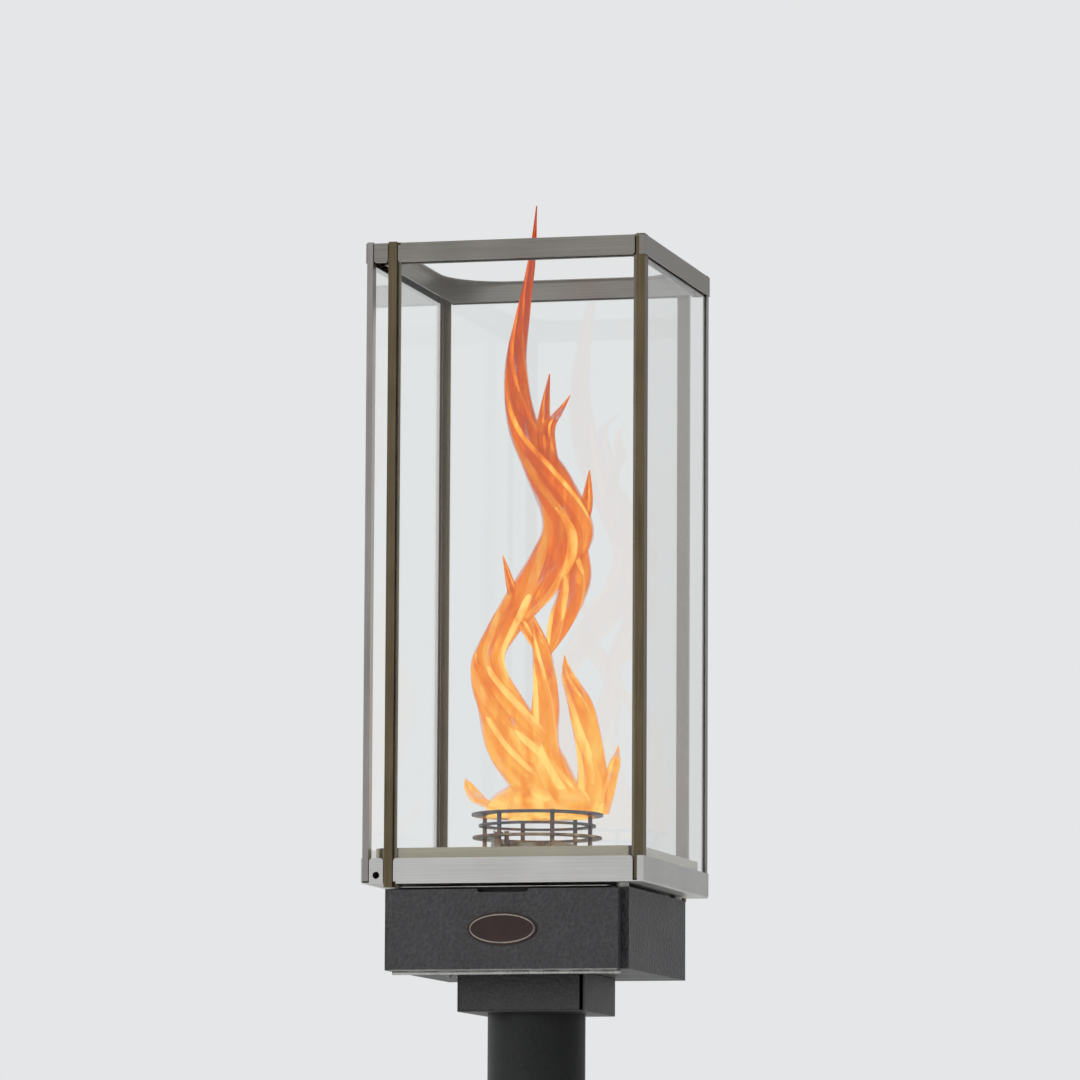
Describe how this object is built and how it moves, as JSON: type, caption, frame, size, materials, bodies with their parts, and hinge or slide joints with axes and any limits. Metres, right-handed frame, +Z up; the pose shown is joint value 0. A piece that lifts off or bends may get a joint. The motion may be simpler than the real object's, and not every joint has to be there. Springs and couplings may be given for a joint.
{
  "type": "gas torch",
  "caption": "Gas garden torch: square glass lantern with a swirl burner over a control box with a drop-down door, on a round pole with a bolt-down base plate.",
  "frame": {"origin": "centre of the base plate's underside, on the ground", "axes": "+Z up along the pole, -Y the front with the control door, +X to the right as seen from the front"},
  "size_m": [0.3, 0.3, 2.3247],
  "materials": {
    "satin_black_paint": "satin black powder coat",
    "textured_charcoal_paint": "fine leathery charcoal powder coat",
    "zinc_plated_steel": "zinc plated",
    "stainless": "brushed stainless",
    "warm_stainless": "stainless warmed by firelight and heat",
    "heat_tinted_steel": "stainless with heat tint",
    "dark_bronze_badge": "dark bronze face with a bright rim",
    "magnet_block": "moulded magnet holder",
    "cast_aluminium": "die cast",
    "brass": "machined",
    "yellow_handle": "brass with a yellow sleeve",
    "black_plastic": "moulded phenolic",
    "red_plastic": "glossy",
    "red_wire": "silicone insulation",
    "aluminium_tube": "bent tube",
    "white_ceramic": "glazed ceramic",
    "black_silicone": "moulded",
    "clear_glass": "clear tempered glass"
  },
  "bodies": {
    "torch": {"base_plate": "satin_black_paint", "base_gussets": "satin_black_paint", "pole": "satin_black_paint", "pole_cap": "satin_black_paint", "head_bolts": "zinc_plated_steel", "collar_wrap": "satin_black_paint", "collar_front": "satin_black_paint", "control_box": "textured_charcoal_paint", "control_panel": "zinc_plated_steel", "hinge_leaf_box": "zinc_plated_steel", "hinge_pin": "zinc_plated_steel", "door_magnet": "magnet_block", "valve_bracket": "zinc_plated_steel", "bracket_screws": "zinc_plated_steel", "gas_valve": "cast_aluminium", "igniter_body": "black_plastic", "ignition_wire": "red_wire", "supply_tube": "brass", "shutoff_valve": "brass", "link_tube": "aluminium_tube", "outlet_tube": "aluminium_tube", "orifice_bracket": "zinc_plated_steel", "orifice_holder": "brass", "gas_orifice": "brass", "venturi_tube": "heat_tinted_steel", "pan_spacers": "zinc_plated_steel", "pan_bolts": "zinc_plated_steel", "base_pan": "stainless", "burner_deck": "warm_stainless", "burner_head": "heat_tinted_steel", "flame_ring_low": "heat_tinted_steel", "flame_ring_mid": "heat_tinted_steel", "flame_ring_top": "heat_tinted_steel", "ring_rods": "heat_tinted_steel", "pilot_burner": "stainless", "spark_electrode": "white_ceramic", "thermocouple": "stainless", "glass_blocks": "black_silicone", "post_left_front": "stainless", "post_front_left": "warm_stainless", "post_front_right": "warm_stainless", "post_right_back": "stainless", "post_back_right": "warm_stainless", "post_back_left": "warm_stainless", "glass_front": "clear_glass", "glass_right": "clear_glass", "glass_back": "clear_glass", "glass_left": "clear_glass", "top_frame": "stainless"},
    "door": {"box_door": "textured_charcoal_paint", "badge": "dark_bronze_badge", "hinge_leaf_door": "zinc_plated_steel"},
    "gas_plunger": {"valve_plunger": "brass"},
    "gas_knob": {"control_knob": "black_plastic", "valve_stem": "brass"},
    "igniter_button": {"igniter_button": "red_plastic"},
    "shutoff_lever": {"shutoff_handle": "yellow_handle"},
    "air_shutter": {"air_shutter": "stainless"}
  },
  "joints": [
    {"name": "door_hinge", "type": "hinge", "parent": "torch", "child": "door", "pos_m": [0, -0.1115, 1.6647], "axis": [1, 0, 0], "range_deg": [0, 175]},
    {"name": "knob_push", "type": "slide", "parent": "torch", "child": "gas_plunger", "axis": [0, 1, 0], "range_m": [0, 0.004], "stiffness_N_per_m": 400, "springref_m": -0.004},
    {"name": "knob_turn", "type": "hinge", "parent": "gas_plunger", "child": "gas_knob", "pos_m": [-0.044, -0.08, 1.703], "axis": [0, -1, 0], "range_deg": [0, 180]},
    {"name": "igniter_push", "type": "slide", "parent": "torch", "child": "igniter_button", "axis": [0, 1, 0], "range_m": [0, 0.004], "stiffness_N_per_m": 400, "springref_m": -0.004},
    {"name": "shutoff_turn", "type": "hinge", "parent": "torch", "child": "shutoff_lever", "pos_m": [0.016, -0.085, 1.691], "axis": [0, -1, 0], "range_deg": [0, 90]},
    {"name": "shutter_turn", "type": "hinge", "parent": "torch", "child": "air_shutter", "pos_m": [0, 0, 1.722], "axis": [0, 0, 1], "range_deg": [-20, 20]}
  ]
}
